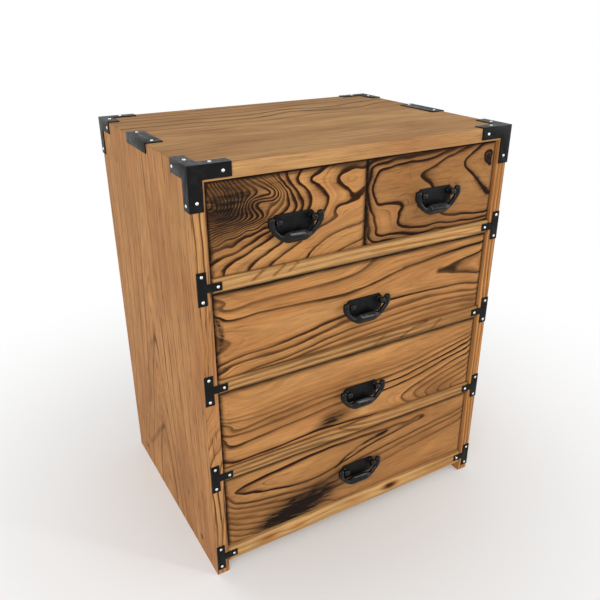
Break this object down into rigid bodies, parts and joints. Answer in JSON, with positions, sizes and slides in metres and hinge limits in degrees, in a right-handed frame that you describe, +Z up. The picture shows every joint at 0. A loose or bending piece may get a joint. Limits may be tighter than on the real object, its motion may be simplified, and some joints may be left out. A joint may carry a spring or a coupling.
{
  "type": "tabletop chest of drawers",
  "caption": "Small tabletop chest with bevelled drawers in burnt cedar, black iron corner and tee plates, and swinging bail handles, for keeping small things.",
  "frame": {"origin": "on the floor, under the middle of the whole box with the handles", "axes": "+X to the right along the front, +Y from the drawer fronts to the back, +Z up"},
  "size_m": [0.3236, 0.2496, 0.4018],
  "materials": {
    "burnt_cedar": "burnt and brushed cedar, honey brown with dark lines, satin",
    "plain_wood": "planed pale wood",
    "plain_ply": "thin tan plywood",
    "black_iron": "black satin iron",
    "bright_steel": "bright nail heads",
    "dark_steel": "dark sunk screws"
  },
  "bodies": {
    "case": {"left_side_panel": "burnt_cedar", "right_side_panel": "burnt_cedar", "top_board": "burnt_cedar", "lower_rail": "burnt_cedar", "middle_rail": "burnt_cedar", "upper_shelf": "burnt_cedar", "bottom_rail": "burnt_cedar", "bottom_board": "plain_wood", "rear_rail": "burnt_cedar", "back_panel": "plain_ply", "drawer_partition": "plain_wood", "drawer_runners": "plain_wood", "front_left_corner_plate": "black_iron", "rear_left_corner_plate": "black_iron", "front_right_corner_plate": "black_iron", "rear_right_corner_plate": "black_iron", "rail_tee_plates": "black_iron", "top_edge_straps": "black_iron", "plate_nails": "bright_steel", "case_screws": "dark_steel"},
    "bottom_drawer": {"bottom_drawer_front": "burnt_cedar", "bottom_drawer_left_side": "plain_wood", "bottom_drawer_right_side": "plain_wood", "bottom_drawer_back": "plain_wood", "bottom_drawer_bottom": "plain_ply", "bottom_drawer_handle_plate": "black_iron", "bottom_drawer_handle_posts": "black_iron"},
    "third_drawer": {"third_drawer_front": "burnt_cedar", "third_drawer_left_side": "plain_wood", "third_drawer_right_side": "plain_wood", "third_drawer_back": "plain_wood", "third_drawer_bottom": "plain_ply", "third_drawer_handle_plate": "black_iron", "third_drawer_handle_posts": "black_iron"},
    "second_drawer": {"second_drawer_front": "burnt_cedar", "second_drawer_left_side": "plain_wood", "second_drawer_right_side": "plain_wood", "second_drawer_back": "plain_wood", "second_drawer_bottom": "plain_ply", "second_drawer_handle_plate": "black_iron", "second_drawer_handle_posts": "black_iron"},
    "upper_left_drawer": {"upper_left_drawer_front": "burnt_cedar", "upper_left_drawer_left_side": "plain_wood", "upper_left_drawer_right_side": "plain_wood", "upper_left_drawer_back": "plain_wood", "upper_left_drawer_bottom": "plain_ply", "upper_left_drawer_handle_plate": "black_iron", "upper_left_drawer_handle_posts": "black_iron"},
    "upper_right_drawer": {"upper_right_drawer_front": "burnt_cedar", "upper_right_drawer_left_side": "plain_wood", "upper_right_drawer_right_side": "plain_wood", "upper_right_drawer_back": "plain_wood", "upper_right_drawer_bottom": "plain_ply", "upper_right_drawer_handle_plate": "black_iron", "upper_right_drawer_handle_posts": "black_iron"},
    "bottom_drawer_bail": {"bottom_drawer_handle_bail": "black_iron"},
    "third_drawer_bail": {"third_drawer_handle_bail": "black_iron"},
    "second_drawer_bail": {"second_drawer_handle_bail": "black_iron"},
    "upper_left_drawer_bail": {"upper_left_drawer_handle_bail": "black_iron"},
    "upper_right_drawer_bail": {"upper_right_drawer_handle_bail": "black_iron"}
  },
  "joints": [
    {"name": "bottom_drawer_slide", "type": "slide", "parent": "case", "child": "bottom_drawer", "axis": [0, -1, 0], "range_m": [0, 0.165]},
    {"name": "third_drawer_slide", "type": "slide", "parent": "case", "child": "third_drawer", "axis": [0, -1, 0], "range_m": [0, 0.165]},
    {"name": "second_drawer_slide", "type": "slide", "parent": "case", "child": "second_drawer", "axis": [0, -1, 0], "range_m": [0, 0.165]},
    {"name": "upper_left_drawer_slide", "type": "slide", "parent": "case", "child": "upper_left_drawer", "axis": [0, -1, 0], "range_m": [0, 0.165]},
    {"name": "upper_right_drawer_slide", "type": "slide", "parent": "case", "child": "upper_right_drawer", "axis": [0, -1, 0], "range_m": [0, 0.165]},
    {"name": "bottom_drawer_bail_swing", "type": "hinge", "parent": "bottom_drawer", "child": "bottom_drawer_bail", "pos_m": [0, -0.1208, 0.0695], "axis": [-1, 0, 0], "range_deg": [0, 150]},
    {"name": "third_drawer_bail_swing", "type": "hinge", "parent": "third_drawer", "child": "third_drawer_bail", "pos_m": [0, -0.1208, 0.163], "axis": [-1, 0, 0], "range_deg": [0, 150]},
    {"name": "second_drawer_bail_swing", "type": "hinge", "parent": "second_drawer", "child": "second_drawer_bail", "pos_m": [0, -0.1208, 0.2565], "axis": [-1, 0, 0], "range_deg": [0, 150]},
    {"name": "upper_left_drawer_bail_swing", "type": "hinge", "parent": "upper_left_drawer", "child": "upper_left_drawer_bail", "pos_m": [-0.0735, -0.1208, 0.3485], "axis": [-1, 0, 0], "range_deg": [0, 150]},
    {"name": "upper_right_drawer_bail_swing", "type": "hinge", "parent": "upper_right_drawer", "child": "upper_right_drawer_bail", "pos_m": [0.0735, -0.1208, 0.3485], "axis": [-1, 0, 0], "range_deg": [0, 150]}
  ]
}
